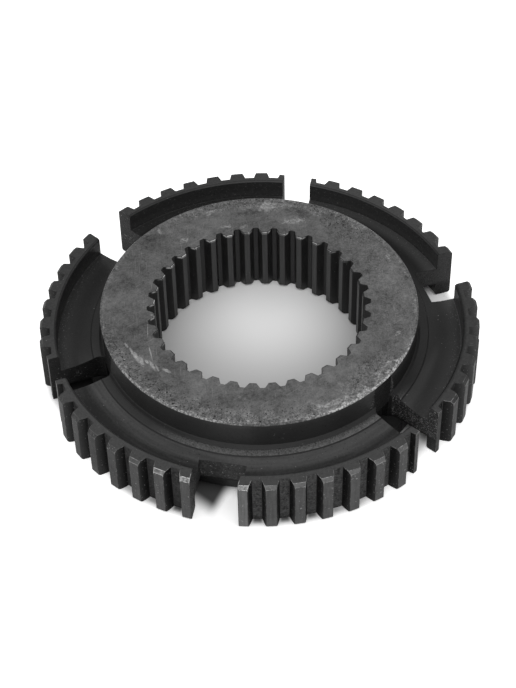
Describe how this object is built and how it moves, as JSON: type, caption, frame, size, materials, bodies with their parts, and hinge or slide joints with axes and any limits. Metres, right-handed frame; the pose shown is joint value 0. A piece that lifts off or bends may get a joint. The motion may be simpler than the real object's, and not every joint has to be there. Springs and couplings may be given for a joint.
{
  "type": "synchronizer hub",
  "caption": "Gearbox synchronizer hub: toothed rim and web round a raised splined boss, with wide and narrow slots cut through the rim.",
  "frame": {"origin": "on the hub's axis, in the plane of the toothed rim's underside, which the hub rests on", "axes": "+Z along the axis, towards the taller boss face; +X out through the middle of one wide slot"},
  "size_m": [0.1548, 0.1562, 0.0271],
  "materials": {
    "steel": "darkened steel with a worn, lighter boss face and worn tooth edges"
  },
  "bodies": {
    "root": {"synchronizer_hub": "steel"}
  },
  "joints": []
}
